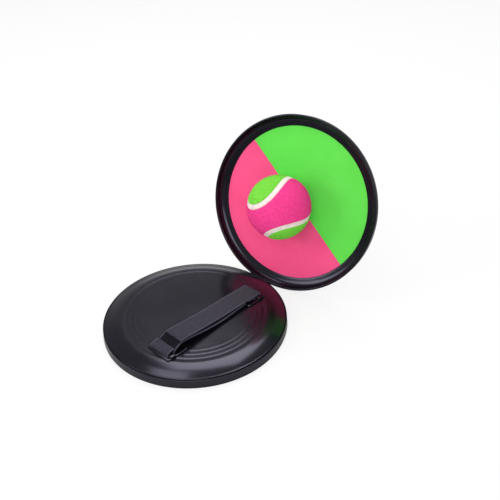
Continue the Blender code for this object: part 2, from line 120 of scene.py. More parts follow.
# %% [markdown]
# The set stands on white paper. A white floor under studio light is never quite even, so most of
# its colour is given by a light of its own that only the camera sees, and the rest by the lamps,
# which leaves the soft shadow round the discs. The black plastic shows its surroundings as a dim
# picture, so these matter too: a bright backdrop behind the set, seen from the camera, a darker
# room round it, and a floor that is dimmer in the plastic than it is to the eye.

# %% Values and helpers for the surroundings
FLOOR_SIZE = 8.0
PAPER = (0.85, 0.85, 0.85, 1)
FLOOR_SEEN_LIGHT = 0.8
FLOOR_DIM, FLOOR_DIM_REACH = (0.33, 0.8), (0.15, 0.3)
AMBIENT = 0.57
ROOM_LIGHT = 0.31
BACKDROP_AZIMUTH = 128.0
BACKDROP_ELEVATION = 10.0
BACKDROP_WIDE, BACKDROP_BRIGHT = (0.8, 0.34), (0.968, 1.2)
HORIZON_LIGHT, HORIZON_REACH = 0.4, (0.03, 0.13)


def direction(azimuth, elevation):
    """A unit vector; degrees round from +X, and up from the floor."""
    return Euler((0, math.radians(-elevation), math.radians(azimuth))).to_matrix() @ Vector((1, 0, 0))


def feed(socket, value):
    """Gives a socket its value, or links it to the output that gives it."""
    if isinstance(value, bpy.types.NodeSocket):
        socket.id_data.links.new(value, socket)
    else:
        socket.default_value = value


def set_inputs(node, **values):
    """Feeds sockets by name; a name of two words has an underscore here."""
    for name, value in values.items():
        feed(node.inputs[name.replace("_", " ")], value)


def add_node(tree, kind, **values):
    node = tree.nodes.new(f"ShaderNode{kind}")
    set_inputs(node, **values)
    return node


def math_node(tree, operation, first, second):
    node = add_node(tree, "Math")
    node.operation = operation
    feed(node.inputs[0], first)
    feed(node.inputs[1], second)
    return node.outputs[0]


def ramp(tree, value, start, end, low, high):
    """Goes from low to high while the value goes from start to end."""
    node = add_node(tree, "MapRange", Value=value, From_Min=start, From_Max=end, To_Min=low, To_Max=high)
    return node.outputs["Result"]


print("backdrop", BACKDROP_AZIMUTH, "degrees round,", BACKDROP_ELEVATION, "up")

# %% The white paper


def seen_in_gloss(tree, path):
    """1 for a ray that comes from a mirroring or clear surface, else 0."""
    glossy, clear = path.outputs["Is Glossy Ray"], path.outputs["Is Transmission Ray"]
    return math_node(tree, "MAXIMUM", glossy, clear)


def paper_material():
    made = bpy.data.materials.new("white paper")
    made.use_nodes = True
    tree = made.node_tree
    tree.nodes.clear()
    matt = add_node(tree, "BsdfDiffuse", Color=PAPER)
    path = add_node(tree, "LightPath")
    own = add_node(tree, "Emission", Strength=path.outputs["Is Camera Ray"])
    seen = math_node(tree, "MULTIPLY", path.outputs["Is Camera Ray"], FLOOR_SEEN_LIGHT)
    where = add_node(tree, "TexCoord")
    from_set = add_node(tree, "VectorMath")
    from_set.operation = "LENGTH"
    feed(from_set.inputs[0], where.outputs["Object"])
    dim = ramp(tree, from_set.outputs["Value"], *FLOOR_DIM_REACH, *FLOOR_DIM)
    mirrored = math_node(tree, "MULTIPLY", seen_in_gloss(tree, path), dim)
    mix = add_node(tree, "MixShader")
    share = math_node(tree, "MAXIMUM", seen, mirrored)
    for socket, value in zip(mix.inputs, (share, matt.outputs[0], own.outputs[0])):
        feed(socket, value)
    add_node(tree, "OutputMaterial", Surface=mix.outputs[0])
    return made


bpy.ops.mesh.primitive_plane_add(size=FLOOR_SIZE, location=(0, 0, 0))
floor = bpy.context.object
floor.name = "floor"
floor.data.materials.append(paper_material())
print("floor", FLOOR_SIZE, "m")

# %% The surroundings
world = bpy.data.worlds.new("white surroundings")
bpy.context.scene.world = world
world.use_nodes = True
tree = world.node_tree
where = add_node(tree, "TexCoord")
toward = add_node(tree, "VectorMath")
toward.operation = "DOT_PRODUCT"
feed(toward.inputs[0], where.outputs["Generated"])
feed(toward.inputs[1], direction(BACKDROP_AZIMUTH, BACKDROP_ELEVATION))
closeness = toward.outputs["Value"]
wide = ramp(tree, closeness, BACKDROP_WIDE[0], 1, ROOM_LIGHT, ROOM_LIGHT + BACKDROP_WIDE[1])
bright = ramp(tree, closeness, BACKDROP_BRIGHT[0], 1, 0, BACKDROP_BRIGHT[1])
apart = add_node(tree, "SeparateXYZ", Vector=where.outputs["Generated"])
horizon = ramp(tree, apart.outputs["Z"], *HORIZON_REACH, HORIZON_LIGHT, 1)
room = math_node(tree, "MULTIPLY", math_node(tree, "ADD", wide, bright), horizon)
path = add_node(tree, "LightPath")
strength = add_node(tree, "Mix", Factor=seen_in_gloss(tree, path), A=AMBIENT, B=room)
white = math_node(tree, "MAXIMUM", strength.outputs["Result"], path.outputs["Is Camera Ray"])
set_inputs(tree.nodes["Background"], Color=(1, 1, 1, 1), Strength=white)
print("ambient", AMBIENT, "room", ROOM_LIGHT)

# %% [markdown]
# Four soft boxes light the set. The key hangs high behind it and gives the round shoulder of the
# lying disc its long pale gleam; a smaller one near the zenith carries the gleam on to the right.
# Two more hang left and right of the camera and light the catch face and the ball from the front.
# Each is given by the direction it shines from and by its radiance, where white paper is 1.

# %% The soft boxes
LIT_POINT = Vector((-0.02, -0.03, 0.02))


def soft_box(name, azimuth, elevation, distance, size, radiance):
    place = LIT_POINT + direction(azimuth, elevation) * distance
    bpy.ops.object.light_add(type="AREA", location=place)
    lamp = bpy.context.object
    lamp.name = name
    lamp.data.shape = "RECTANGLE"
    lamp.data.size, lamp.data.size_y = size
    lamp.data.energy = radiance * math.pi * size[0] * size[1]
    lamp.rotation_euler = (LIT_POINT - place).to_track_quat("-Z", "Y").to_euler()
    print(name, round(lamp.data.energy, 1), "W")


soft_box("key soft box", 115, 61, 1.9, (1.06, 1.0), 4.4)
soft_box("second soft box", 203, 74, 1.7, (0.55, 0.55), 3.6)
soft_box("left fill soft box", -132, 26, 2.2, (1.1, 0.8), 4.0)
soft_box("right fill soft box", -64, 36, 2.2, (1.3, 1.1), 3.5)

# %% [markdown]
# Every piece below is made the way a hand would make it: add a primitive, go into edit mode,
# extrude, spin or cut, and finish with modifiers. An operator works on whatever is selected, and
# the frame's nodes are selected after loading, so each step starts by selecting nothing.

# %% Tools of the bench


def select_nothing():
    if bpy.context.mode != "OBJECT":
        bpy.ops.object.mode_set(mode="OBJECT")
    bpy.ops.object.select_all(action="DESELECT")


def select_only(piece):
    select_nothing()
    piece.select_set(True)
    bpy.context.view_layer.objects.active = piece


def edit_all():
    """Goes into edit mode with everything selected."""
    bpy.ops.object.mode_set(mode="EDIT")
    bpy.ops.mesh.select_all(action="SELECT")


def start_with(add, name, **settings):
    """Adds a primitive by its operator, with nothing else selected, and names it."""
    select_nothing()
    add(**settings)
    piece = bpy.context.object
    piece.name = name
    return piece


def apply_modifier(piece, kind, **settings):
    select_only(piece)
    modifier = piece.modifiers.new(kind.title(), kind)
    for setting, value in settings.items():
        setattr(modifier, setting, value)
    bpy.ops.object.modifier_apply(modifier=modifier.name)


def smooth_by_angle(piece, degrees):
    select_only(piece)
    bpy.ops.object.shade_smooth_by_angle(angle=math.radians(degrees))


def mend(piece, merge=0.0, outwards=True):
    """Merges the points that coincide and turns the faces outwards."""
    select_only(piece)
    edit_all()
    if merge:
        bpy.ops.mesh.remove_doubles(threshold=merge)
    if outwards:
        bpy.ops.mesh.normals_make_consistent(inside=False)
    bpy.ops.object.mode_set(mode="OBJECT")


def count(piece):
    return sum(len(face.vertices) - 2 for face in piece.data.polygons)


def set_down(piece, name, matrix, made_of, slot, *nodes):
    """Moves a piece from its own frame to its place, for good, and ties it to the frame."""
    piece.name = name
    piece.data.name = name
    select_only(piece)
    piece.matrix_world = matrix
    bpy.ops.object.transform_apply(location=True, rotation=True, scale=True)
    if made_of:
        piece.data.materials.clear()
        piece.data.materials.append(made_of)
    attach(piece, "root")
    if nodes:
        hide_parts(*nodes)
    print(name, count(piece), "triangles")


def copy_of(piece):
    select_only(piece)
    bpy.ops.object.duplicate()
    return bpy.context.object


def on_both_discs(piece, name, made_of, slot, node=None):
    """Sets the piece down on the lying disc and a copy of it on the leaning one."""
    places = (("lying", LYING, piece), ("standing", STANDING, copy_of(piece)))
    for disc, matrix, made in places:
        nodes = [f"{disc}_{node}"] if node else []
        set_down(made, f"{disc}_{name}", matrix, made_of, slot, *nodes)
    return [(disc, made) for disc, _, made in places]


def line_piece(name, points):
    """A chain of edges through points in millimetres, drawn by extruding one vertex along."""
    piece = start_with(bpy.ops.mesh.primitive_plane_add, name, size=MM, location=(0, 0, 0))
    edit_all()
    bpy.ops.mesh.merge(type="CENTER")
    here = Vector((0, 0, 0))
    for index, point in enumerate(points):
        after = Vector((point[0], 0, point[1])) * MM
        if index == 0:
            bpy.ops.transform.translate(value=after - here)
        else:
            bpy.ops.mesh.extrude_vertices_move(TRANSFORM_OT_translate={"value": after - here})
        here = after
    bpy.ops.object.mode_set(mode="OBJECT")
    return piece


print("tools ready")

# %% [markdown]
# Plastic first. The discs are moulded in black polypropylene with a satin skin: nearly black in
# itself, a little bluish where it mirrors white paper. A fine spark-eroded grain breaks its gloss,
# and slow changes of roughness keep the large plain areas alive.

# %% Materials: helpers and the black plastic
NOISE_SPAN = (0.3, 0.7)


def new_material(name, colour, roughness, specular):
    made = bpy.data.materials.new(name)
    made.use_nodes = True
    tree = made.node_tree
    shader = tree.nodes["Principled BSDF"]
    set_inputs(shader, Base_Color=(*colour, 1), Roughness=roughness, Specular_IOR_Level=specular)
    return made, tree, shader


def add_noise(tree, scale, detail, coordinate="Object", rough=0.5):
    """A noise pattern; scale is in patches per metre."""
    where = add_node(tree, "TexCoord").outputs[coordinate]
    pattern = add_node(tree, "TexNoise", Vector=where, Scale=scale, Detail=detail, Roughness=rough)
    return pattern.outputs["Fac"]


def add_bump(tree, shader, height, distance, strength, below=None):
    bump = add_node(tree, "Bump", Height=height, Distance=distance, Strength=strength)
    if below:
        set_inputs(bump, Normal=below)
    set_inputs(shader, Normal=bump.outputs["Normal"])
    return bump.outputs["Normal"]


def add_range(tree, value, low=0.0, high=1.0):
    """Stretches a noise pattern, which keeps to the middle of 0 to 1, to run from low to high."""
    return ramp(tree, value, *NOISE_SPAN, low, high)


def add_sum(tree, first, first_share, second, second_share):
    """Two patterns added, each with its share."""
    first = math_node(tree, "MULTIPLY", first, first_share)
    second = math_node(tree, "MULTIPLY", second, second_share)
    return math_node(tree, "ADD", first, second)


def add_colours(tree, shader, value, first, second):
    mix = add_node(tree, "Mix")
    mix.data_type = "RGBA"
    set_inputs(mix, Factor=value, A=(*first, 1), B=(*second, 1))
    set_inputs(shader, Base_Color=mix.outputs["Result"])


def plastic_material():
    made, tree, shader = new_material("black plastic", (0.0045, 0.0045, 0.007), 0.2, 0.52)
    slow = add_noise(tree, 28, 3)
    set_inputs(shader, Roughness=add_range(tree, slow, 0.14, 0.21))
    add_colours(tree, shader, slow, (0.004, 0.004, 0.0062), (0.0055, 0.0055, 0.0082))
    set_inputs(shader, Specular_Tint=(0.79, 0.765, 1.0, 1))
    add_bump(tree, shader, add_noise(tree, 2600, 2), 0.00002, 0.2)
    return made


PLASTIC = plastic_material()
print("plastic ready")

# %% [markdown]
# The shell is one moulding with the same section all the way round, so it is turned like a bowl:
# one profile, drawn from the middle of the back out over the ridges, the shoulder and the rim and
# back in along the inside, is spun round the axis. The spin is fine enough that no facet shows in
# the gleam on the rim.

# %% The shell's profile
BACK_PLANE = 13.0
SHOULDER_CREST = 13.25
SHOULDER_RADIUS = 72.5
SHOULDER_END = 90.4
SHOULDER_STEEPEST = 72
BEAD_WIDTH, BEAD_HEIGHT = 1.6, 0.8
GROOVE_DEPTH = 0.95
BAND_CORNER = 0.3
RIM_WALL = 2.2
RIDGE_RADII = (55.9, 61.1, 66.5)
VALLEY_RADII = (57.8, 63.0, 68.4)
RIDGE_HEIGHT = 0.03
FLAT_END = 51.9
SHELL_FLOOR = 10.9
FACE_RADIUS = 80.6
FACE_DEPTH = 9.5
CLEARANCE = 0.3
SPIN_STEPS = 240
SAME_POINT = 0.002 * MM


def wave(start, end, steps):
    """A soft rise or fall from one point to the next, level at both. The start isn't repeated."""
    points = []
    for step in range(1, steps + 1):
        share = step / steps
        blend = (1 - math.cos(math.pi * share)) / 2
        points.append((start[0] + (end[0] - start[0]) * share, start[1] + (end[1] - start[1]) * blend))
    return points


def smooth_line(points, steps):
    """A Catmull-Rom curve through the points."""
    points = [Vector(point) for point in points]
    padded = [points[0] * 2 - points[1], *points, points[-1] * 2 - points[-2]]
    curve = []
    for before, start, end, after in zip(padded, padded[1:], padded[2:], padded[3:]):
        for step in range(steps):
            t = step / steps
            bend = (2 * before - 5 * start + 4 * end - after) * t**2
            twist = (3 * start - before - 3 * end + after) * t**3
            curve.append(0.5 * (2 * start + (end - before) * t + bend + twist))
    curve.append(points[-1])
    return curve


def corner(centre, radius, start, end, steps):
    """A rounded corner: an arc about centre between two angles in degrees."""
    points = []
    for step in range(steps + 1):
        angle = math.radians(start + (end - start) * step / steps)
        points.append((centre[0] + radius * math.cos(angle), centre[1] + radius * math.sin(angle)))
    return points


def back_profile():
    """The middle of the back, the ridges and the shoulder."""
    points = [(0, BACK_PLANE), (FLAT_END * 0.55, BACK_PLANE), (FLAT_END, BACK_PLANE)]
    for ridge, valley in zip(RIDGE_RADII, VALLEY_RADII):
        points += wave(points[-1], (ridge, BACK_PLANE + RIDGE_HEIGHT), 7)
        points += wave(points[-1], (valley, BACK_PLANE - RIDGE_HEIGHT), 7)
    points += wave(points[-1], (SHOULDER_RADIUS, SHOULDER_CREST), 8)
    drop = SHOULDER_CREST - (BAND_HEIGHT + BEAD_HEIGHT)
    reach = SHOULDER_END - BEAD_WIDTH - SHOULDER_RADIUS
    steepest = math.radians(SHOULDER_STEEPEST)
    for step in range(1, 17):
        share = step / 16
        fall = (1 - math.cos(share * steepest)) / (1 - math.cos(steepest))
        points.append((SHOULDER_RADIUS + reach * share, SHOULDER_CREST - drop * fall))
    for out, down in ((0.45, 0.13), (0.9, 0.24), (1.3, 0.35)):
        points.append((SHOULDER_END - BEAD_WIDTH + out, BAND_HEIGHT + BEAD_HEIGHT - down))
    return points


def rim_profile():
    """The groove, the side band, the front edge and the wall inside it."""
    inner = RIM_RADIUS - RIM_WALL
    groove = BAND_HEIGHT - GROOVE_DEPTH
    points = [(SHOULDER_END - 0.08, BAND_HEIGHT + 0.25), (SHOULDER_END, BAND_HEIGHT - 0.05)]
    points += [(SHOULDER_END + 0.04, groove + 0.2), (SHOULDER_END + 0.22, groove)]
    points += [(BAND_TOP_RADIUS - 0.85, groove), (BAND_TOP_RADIUS - 0.65, groove + 0.2)]
    points += corner((BAND_TOP_RADIUS - BAND_CORNER, BAND_HEIGHT - BAND_CORNER), BAND_CORNER, 172, 8, 8)
    points += [((BAND_TOP_RADIUS + RIM_RADIUS) / 2, BAND_HEIGHT / 2)]
    points += corner((RIM_RADIUS - FRONT_CORNER, FRONT_CORNER), FRONT_CORNER, 0, -90, 6)
    points += corner((inner + 0.6, 0.6), 0.6, -90, -180, 5)
    points += [(inner - 0.35, 3.3)]
    inside = [(inner - 0.7, 6.0), (inner - 1.7, 7.6), (inner - 4.2, 8.9)]
    inside += [(FACE_RADIUS + 1.4, FACE_DEPTH + 0.3)]
    points += [tuple(point) for point in smooth_line(inside, 6)]
    recess = FACE_RADIUS + CLEARANCE
    points += [(FACE_RADIUS + 0.5, FACE_DEPTH + 0.6), (recess, FACE_DEPTH + 0.9)]
    points += [(recess, SHELL_FLOOR), (FACE_RADIUS / 2, SHELL_FLOOR), (0, SHELL_FLOOR)]
    return points


profile = back_profile() + rim_profile()
print("profile of", len(profile), "points")

# %% Turn the shell


def turned(name, points, steps):
    piece = line_piece(name, points)
    edit_all()
    bpy.ops.mesh.spin(steps=steps, angle=2 * math.pi, center=(0, 0, 0), axis=(0, 0, 1))
    mend(piece, merge=SAME_POINT)
    return piece


shell = turned("shell", profile, SPIN_STEPS)
print("turned shell", count(shell), "triangles")

# %% [markdown]
# Each end of the hand strap is held by an anchor: a low rectangular frame that stands up from the
# back, a shallow pocket inside it and a bar across the pocket that the tape goes round. On the
# mould they are one with the shell, so they are cut and joined here by Booleans: the pockets
# first, then the frames with their bars.

# %% Sizes of the anchors, and blocks to make them from
STRAP_OFFSET = -20.5
ANCHOR_OUTER_X = 65.8
ANCHOR_LENGTH = 24.5
ANCHOR_WIDTH = 30.0
LIP_WIDTH = 1.8
LIP_HEIGHT = 1.5
POCKET_DEPTH = 0.6
SLOT_WIDTH = 25.8
BAR_INNER_X = 56.2
BAR_OUTER_X = 61.6
BAR_UNDERSIDE = 14.4
BAR_TOP = 16.0
ANCHOR_ROOT = 11.2
ANCHOR_CORNER, LIP_EDGE, HOLE_CORNER, BAR_EDGE = 2.2, 0.5, 0.9, 0.55


def block(name, low, high):
    """A box between two corners, in millimetres."""
    low, high = Vector(low) * MM, Vector(high) * MM
    piece = start_with(bpy.ops.mesh.primitive_cube_add, name, size=1, location=(low + high) / 2)
    piece.scale = high - low
    bpy.ops.object.transform_apply(location=True, rotation=True, scale=True)
    return piece


def round_upright_edges(piece, radius, segments):
    """Bevels the four edges that run along Z."""
    select_only(piece)
    bpy.ops.object.mode_set(mode="EDIT")
    bpy.ops.mesh.select_mode(type="EDGE")
    bpy.ops.mesh.select_all(action="DESELECT")
    draft = bmesh.from_edit_mesh(piece.data)
    for edge in draft.edges:
        along = (edge.verts[0].co - edge.verts[1].co).normalized()
        edge.select_set(abs(along.z) > 0.99)
    bmesh.update_edit_mesh(piece.data)
    bpy.ops.mesh.bevel(offset=radius * MM, segments=segments, affect="EDGES")
    bpy.ops.mesh.select_mode(type="VERT")
    bpy.ops.object.mode_set(mode="OBJECT")


def combine(piece, other, operation):
    """Joins or cuts, and uses the other piece up."""
    apply_modifier(piece, "BOOLEAN", object=other, operation=operation, solver="EXACT")
    bpy.data.objects.remove(other, do_unlink=True)


print("anchors", ANCHOR_LENGTH, "x", ANCHOR_WIDTH, "mm")

# %% An anchor and its pocket


def anchor_and_pocket(side):
    """The frame with its bar at the left (-1) or right (1) end, and the block that cuts the pocket."""
    outer = side * ANCHOR_OUTER_X
    inner = side * (ANCHOR_OUTER_X - ANCHOR_LENGTH)
    low_x, high_x = min(outer, inner), max(outer, inner)
    low_y, high_y = STRAP_OFFSET - ANCHOR_WIDTH / 2, STRAP_OFFSET + ANCHOR_WIDTH / 2
    lip_top = BACK_PLANE + LIP_HEIGHT
    anchor = block("anchor", (low_x, low_y, ANCHOR_ROOT), (high_x, high_y, lip_top))
    round_upright_edges(anchor, ANCHOR_CORNER, 5)
    apply_modifier(anchor, "BEVEL", width=LIP_EDGE * MM, segments=3, limit_method="ANGLE")
    hole = block(
        "hole",
        (low_x + LIP_WIDTH, low_y + LIP_WIDTH, ANCHOR_ROOT - 2),
        (high_x - LIP_WIDTH, high_y - LIP_WIDTH, lip_top + 2),
    )
    round_upright_edges(hole, HOLE_CORNER, 4)
    combine(anchor, hole, "DIFFERENCE")
    bar_x = sorted((side * BAR_INNER_X, side * BAR_OUTER_X))
    bar = block("bar", (bar_x[0], low_y + 0.1, ANCHOR_ROOT + 0.2), (bar_x[1], high_y - 0.1, BAR_TOP))
    apply_modifier(bar, "BEVEL", width=BAR_EDGE * MM, segments=4, limit_method="ANGLE")
    arch = block(
        "arch",
        (bar_x[0] - 3, STRAP_OFFSET - SLOT_WIDTH / 2, ANCHOR_ROOT - 2),
        (bar_x[1] + 3, STRAP_OFFSET + SLOT_WIDTH / 2, BAR_UNDERSIDE),
    )
    combine(bar, arch, "DIFFERENCE")
    combine(anchor, bar, "UNION")
    pocket = block(
        "pocket",
        (low_x + LIP_WIDTH / 2, low_y + LIP_WIDTH / 2, BACK_PLANE - POCKET_DEPTH),
        (high_x - LIP_WIDTH / 2, high_y - LIP_WIDTH / 2, BACK_PLANE + 5),
    )
    return anchor, pocket


for side in (-1, 1):
    anchor, pocket = anchor_and_pocket(side)
    combine(shell, pocket, "DIFFERENCE")
    combine(shell, anchor, "UNION")
mend(shell, merge=SAME_POINT, outwards=False)
smooth_by_angle(shell, 33)
print("shell with anchors", count(shell), "triangles")

# %% The two shells in place
on_both_discs(shell, "disc_shell", PLASTIC, "shell_plastic", "shell")

# %% [markdown]
# The catch faces are loop cloth: a knitted backing with a short brushed nap that the felt of the
# ball clings to. Each disc has two pieces, green above and pink below, that meet on a slanting
# line. Each piece starts as a flat round, is cut along the line, gets the cloth's thickness and
# soft edges, and is then pushed out of true a little, because glued cloth never lies quite flat.

# %% Catch faces
FACE_THICKNESS = 1.0
FACE_SEAM_ANGLE = -41.5
FACE_SEAM_OFFSET = 4.05
FACE_SEAM_GAP = 0.16
FACE_STEPS, FACE_RINGS = 192, 9
FACE_EDGE = 0.35
RIPPLE_HEIGHT, RIPPLE_LONG, RIPPLE_SHORT = 0.1, 26, 9


def cloth_material(name, colour, nap_colour):
    """Brushed loop cloth: a nap that is lighter where it stands up, over a fine knit."""
    made, tree, shader = new_material(name, colour, 0.9, 0.12)
    set_inputs(shader, Sheen_Weight=0.12, Sheen_Roughness=0.6)
    nap = add_noise(tree, 900, 4, rough=0.62)
    drift = add_noise(tree, 45, 2)
    tone = add_range(tree, add_sum(tree, nap, 0.55, drift, 0.45))
    add_colours(tree, shader, tone, colour, nap_colour)
    knit = add_noise(tree, 2300, 3, rough=0.7)
    soft = add_bump(tree, shader, nap, 0.00022, 0.5)
    add_bump(tree, shader, knit, 0.00008, 0.5, below=soft)
    return made


def face_piece(name, side):
    """The upper (1) or lower (-1) part of a catch face, in the disc's frame. Its front looks along -Z."""
    angle = math.radians(FACE_SEAM_ANGLE)
    across = Vector((math.cos(angle), -math.sin(angle), 0))
    circle = dict(vertices=FACE_STEPS, radius=FACE_RADIUS * MM, fill_type="NGON")
    add = bpy.ops.mesh.primitive_circle_add
    piece = start_with(add, name, location=(0, 0, FACE_DEPTH * MM), **circle)
    bpy.ops.object.transform_apply(location=True, rotation=False, scale=False)
    edit_all()
    for _ in range(FACE_RINGS):
        bpy.ops.mesh.inset(thickness=FACE_RADIUS / (FACE_RINGS + 1) * MM)
    bpy.ops.mesh.poke()
    bpy.ops.mesh.select_all(action="SELECT")
    bpy.ops.mesh.bisect(
        plane_co=across * (FACE_SEAM_OFFSET + side * FACE_SEAM_GAP / 2) * MM,
        plane_no=across,
        clear_inner=side > 0,
        clear_outer=side < 0,
    )
    mend(piece)
    if piece.data.polygons[0].normal.z > 0:
        piece.data.flip_normals()
    apply_modifier(piece, "SOLIDIFY", thickness=FACE_THICKNESS * MM, offset=-1)
    sharp = dict(limit_method="ANGLE", angle_limit=math.radians(50))
    apply_modifier(piece, "BEVEL", width=FACE_EDGE * MM, segments=3, **sharp)
    for vertex in piece.data.vertices:
        place = vertex.co / MM
        if place.z < FACE_DEPTH + 0.5:
            ripple = noise.noise(Vector((place.x / RIPPLE_LONG, place.y / RIPPLE_LONG, 3.0)))
            ripple += 0.4 * noise.noise(Vector((place.x / RIPPLE_SHORT, place.y / RIPPLE_SHORT, 8.0)))
            vertex.co.z += RIPPLE_HEIGHT * ripple * MM
    smooth_by_angle(piece, 40)
    return piece


def segment_area(side):
    """Flat area of one colour, in square metres."""
    radius = FACE_RADIUS * MM
    distance = side * FACE_SEAM_OFFSET * MM
    return radius**2 * math.acos(distance / radius) - distance * math.sqrt(radius**2 - distance**2)


for colour, side in (("green", 1), ("pink", -1)):
    print(colour, "face of", round(segment_area(side) * 10000, 1), "square cm")

# %% The four pieces of the catch faces
FACE_GREEN = cloth_material("green loop cloth", (0.106, 0.685, 0.062), (0.136, 0.76, 0.09))
FACE_PINK = cloth_material("pink loop cloth", (0.92, 0.07, 0.225), (0.99, 0.1, 0.285))

for colour, made_of, side in (("green", FACE_GREEN, 1), ("pink", FACE_PINK, -1)):
    face = face_piece("face", side)
    slot = f"face_{colour}"
    for disc, piece in on_both_discs(face, f"catch_face_{colour}", made_of, slot, slot):
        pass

# %% [markdown]
# The hand strap is two woven tapes. The lower one carries moulded hooks: its tail folds loosely
# over the left bar, and its run goes under the upper one. The upper one carries loops: it lies on
# the hooks, goes round the right bar and ends beneath itself. Between the bars both sag a little,
# the lower one more, and both stray a little sideways. They are flat bands, so each starts as a
# side view, drawn as a line, which is extruded sideways into a ribbon. Solidify gives the tape its
# thickness, thinner along the selvages, and a small bevel takes the sharpness off.

# %% The tapes' side views
HOOK_WIDTH, HOOK_OFFSET, HOOK_THICKNESS = 23.6, -19.7, 1.3
LOOP_WIDTH, LOOP_OFFSET, LOOP_THICKNESS = 21.8, -20.2, 1.4
TAPE_PLAY = 0.35
LAYER_GAP = 0.55
HOOK_SWAY, LOOP_SWAY = -1.5, 0.3
HOOK_SAG, LOOP_SAG = 2.2, 1.2
FREE_REACH = BAR_INNER_X - 10
RUN_START = (-38.0, 20.5)
RUN_END = (41.0, 16.15)
HOOK_TAIL_X = -54.4
HOOK_RISE_X = -52.6
LOOP_FREE_X = -44.3
LOOP_TAIL_X = 45.5
TAIL_HEIGHT = 19.3
PATH_STEPS = 6
RUN_SPANS = 6


def stray(x, most):
    """How far a tape strays from its straight run: nothing at the anchors, the most in the middle."""
    share = max(0.0, 1 - (x / FREE_REACH) ** 2)
    return most * share**2


def sagging(path, most):
    """The path, let down between the anchors."""
    return [Vector((point.x, point.y - stray(point.x, most))) for point in path]


def hook_path():
    """Side view of the lower tape: its tail, round the left bar, and its run to the right."""
    half = HOOK_THICKNESS / 2
    outer = BAR_OUTER_X + TAPE_PLAY + half
    under = BACK_PLANE - POCKET_DEPTH + CLEARANCE + half
    bend = (half + TAPE_PLAY) * math.sqrt(0.5) + 0.05
    start = RUN_START[1]
    points = [
        (HOOK_TAIL_X, TAIL_HEIGHT),
        (-BAR_INNER_X + 0.7, TAIL_HEIGHT - 0.05),
        (-BAR_INNER_X - 2.3, TAIL_HEIGHT - 0.55),
        (-outer + 0.5, BAR_TOP + 1.4),
        (-outer - 0.1, BAR_TOP - 0.3),
        (-outer - 0.15, BAR_UNDERSIDE + 0.3),
        (-BAR_OUTER_X - bend, BAR_UNDERSIDE - bend),
        (-BAR_OUTER_X + 0.6, under),
        (-BAR_INNER_X - 2.0, under + 0.02),
        (-BAR_INNER_X, under + 0.05),
        (-BAR_INNER_X + 1.5, under + 0.9),
        (-BAR_INNER_X + 2.3, under + 2.4),
        (-BAR_INNER_X + 2.8, TAIL_HEIGHT - 2.6),
        (HOOK_RISE_X + 0.5, TAIL_HEIGHT - 1.65),
        (HOOK_RISE_X + 3.1, start - 1.5),
        (HOOK_RISE_X + 6.6, start - 0.3),
        (RUN_START[0] - 4.5, start + 0.1),
        RUN_START,
        ((RUN_START[0] + RUN_END[0]) / 2, (start + RUN_END[1]) / 2),
        RUN_END,
    ]
    return sagging(smooth_line(points, PATH_STEPS), HOOK_SAG)


def loop_path():
    """Side view of the upper tape: its free end, its run, round the right bar and its tail."""
    half = LOOP_THICKNESS / 2
    lift = HOOK_THICKNESS / 2 + LAYER_GAP + half
    over = BAR_TOP + TAPE_PLAY + half
    under = BACK_PLANE - POCKET_DEPTH + CLEARANCE + half
    outer = BAR_OUTER_X + TAPE_PLAY + half
    bend = (half + TAPE_PLAY) * math.sqrt(0.5) + 0.05
    start, end = RUN_START[1] + lift, RUN_END[1] + lift
    slope = (end - start) / (RUN_END[0] - RUN_START[0])
    points = [
        (LOOP_FREE_X, start - 0.15),
        (RUN_START[0] - 2.0, start + 0.12),
        (0.0, start - slope * RUN_START[0]),
        (RUN_END[0], end),
        (BAR_INNER_X - 3.5, over + 0.2),
        (BAR_INNER_X + 1.0, over),
        (BAR_OUTER_X - 0.8, over),
        (BAR_OUTER_X + bend, BAR_TOP + bend),
        (outer + 0.1, (BAR_TOP + BAR_UNDERSIDE) / 2),
        (BAR_OUTER_X + bend, BAR_UNDERSIDE - bend),
        (BAR_OUTER_X - 0.6, under),
        (BAR_INNER_X + 2.0, under + 0.02),
        (BAR_INNER_X - 0.2, under),
        (BAR_INNER_X - 2.2, under + 0.65),
        (BAR_INNER_X - 4.7, end - 2.6),
        (BAR_INNER_X - 7.7, end - 2.0),
        (LOOP_TAIL_X, end - 1.95),
    ]
    return sagging(smooth_line(points, PATH_STEPS), LOOP_SAG)


def path_length(path):
    return sum((after - here).length for here, after in zip(path, path[1:]))


print("hook tape", round(path_length(hook_path()), 1), "mm long")
print("loop tape", round(path_length(loop_path()), 1), "mm long")

# %% The tapes' cloth
SELVAGE = 1.3
HOOK_BODY = 1.05
LOOP_BODY = 1.15


